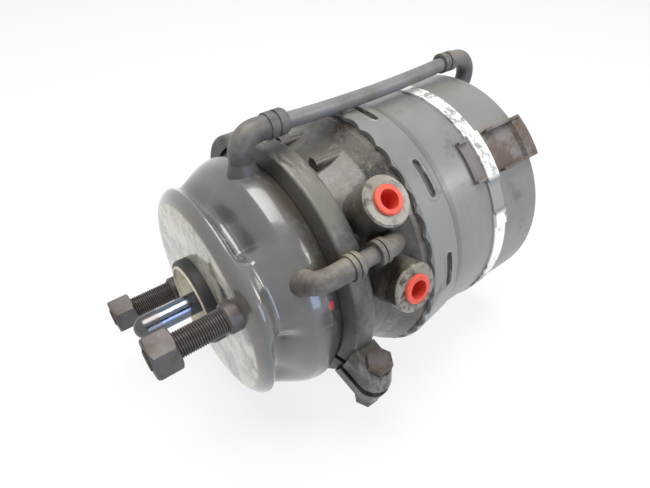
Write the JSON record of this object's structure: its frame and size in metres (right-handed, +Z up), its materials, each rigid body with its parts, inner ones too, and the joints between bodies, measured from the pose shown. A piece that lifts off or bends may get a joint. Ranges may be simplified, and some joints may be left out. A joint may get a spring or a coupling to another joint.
{
  "type": "air brake chamber",
  "caption": "Combined service and spring air brake chamber for a disc brake, with stud mounting, clamp ring, plugged ports and vent hoses.",
  "frame": {"origin": "centre of the mounting face, on the chamber axis", "axes": "+X out of the mounting face along the pushrod, +Z up as the chamber lies on its side"},
  "size_m": [0.3201, 0.2356, 0.2151],
  "materials": {
    "housing_paint": "warm grey gloss enamel over pressed steel, worn to bare metal on the mounting face",
    "cylinder_paint": "mid grey satin paint over drawn steel",
    "clamp_paint": "dark grey-brown paint with road film",
    "cast_body": "die cast aluminium under brown road film",
    "dark_steel": "bare steel gone brown",
    "hard_chrome": "hard chromed steel",
    "cream_plastic": "ivory acetal",
    "seal_rubber": "black rubber",
    "hose_rubber": "dusty dark rubber",
    "pipe_plastic": "dark grey hard pipe",
    "red_plastic": "red moulded plastic",
    "strap_paint": "light paint scuffed through to grey",
    "bracket_rust": "grey paint with rust",
    "spring_steel": "coated spring steel",
    "inner_alloy": "machined aluminium",
    "plate_steel": "plated steel"
  },
  "bodies": {
    "chamber": {"service_housing": "housing_paint", "mounting_studs": "dark_steel", "stud_nuts": "dark_steel", "guide_ring": "cream_plastic", "seal_ring": "seal_rubber", "gaiter": "seal_rubber", "return_spring": "spring_steel", "service_diaphragm": "seal_rubber", "clamp_half_upper": "clamp_paint", "clamp_half_lower": "clamp_paint", "clamp_bolts": "dark_steel", "clamp_nuts": "dark_steel", "flange_body": "cast_body", "service_port_plug": "red_plastic", "parking_port_plug": "red_plastic", "hub_seals": "seal_rubber", "cylinder_seal": "seal_rubber", "crimp_sleeve": "cylinder_paint", "spring_cylinder": "cylinder_paint", "power_spring": "spring_steel", "vent_front_elbow": "hose_rubber", "vent_pipe": "pipe_plastic", "vent_rear_elbow": "hose_rubber", "breather_front_elbow": "hose_rubber", "breather_rear_elbow": "hose_rubber", "breather_pipe": "pipe_plastic", "strap": "strap_paint", "strap_bracket": "bracket_rust"},
    "parking_piston": {"parking_piston": "inner_alloy", "piston_seal": "seal_rubber"},
    "pushrod": {"pushrod": "hard_chrome", "pushrod_plate": "plate_steel"},
    "release_bolt": {"release_bolt": "plate_steel"},
    "release_nut": {"release_nut": "plate_steel"}
  },
  "joints": [
    {"name": "parking_travel", "type": "slide", "parent": "chamber", "child": "parking_piston", "axis": [1, 0, 0], "range_m": [-0.033, 0], "stiffness_N_per_m": 3000, "springref_m": 0.04, "deforming": ["power_spring", "service_diaphragm", "return_spring", "gaiter"]},
    {"name": "service_travel", "type": "slide", "parent": "parking_piston", "child": "pushrod", "axis": [1, 0, 0], "range_m": [0, 0.024], "stiffness_N_per_m": 1500, "springref_m": -0.03, "deforming": ["service_diaphragm", "return_spring", "gaiter"]},
    {"name": "release_turn", "type": "hinge", "parent": "chamber", "child": "release_bolt", "pos_m": [-0.2, 0, 0], "axis": [1, 0, 0], "range_deg": [0, 2160]},
    {"name": "release_nut_travel", "type": "slide", "parent": "chamber", "child": "release_nut", "axis": [-1, 0, 0], "range_m": [0, 0.0151]}
  ],
  "couplings": [
    {"joint": "release_nut_travel", "follows": "release_turn", "m_per_rad": 0.00039789}
  ]
}
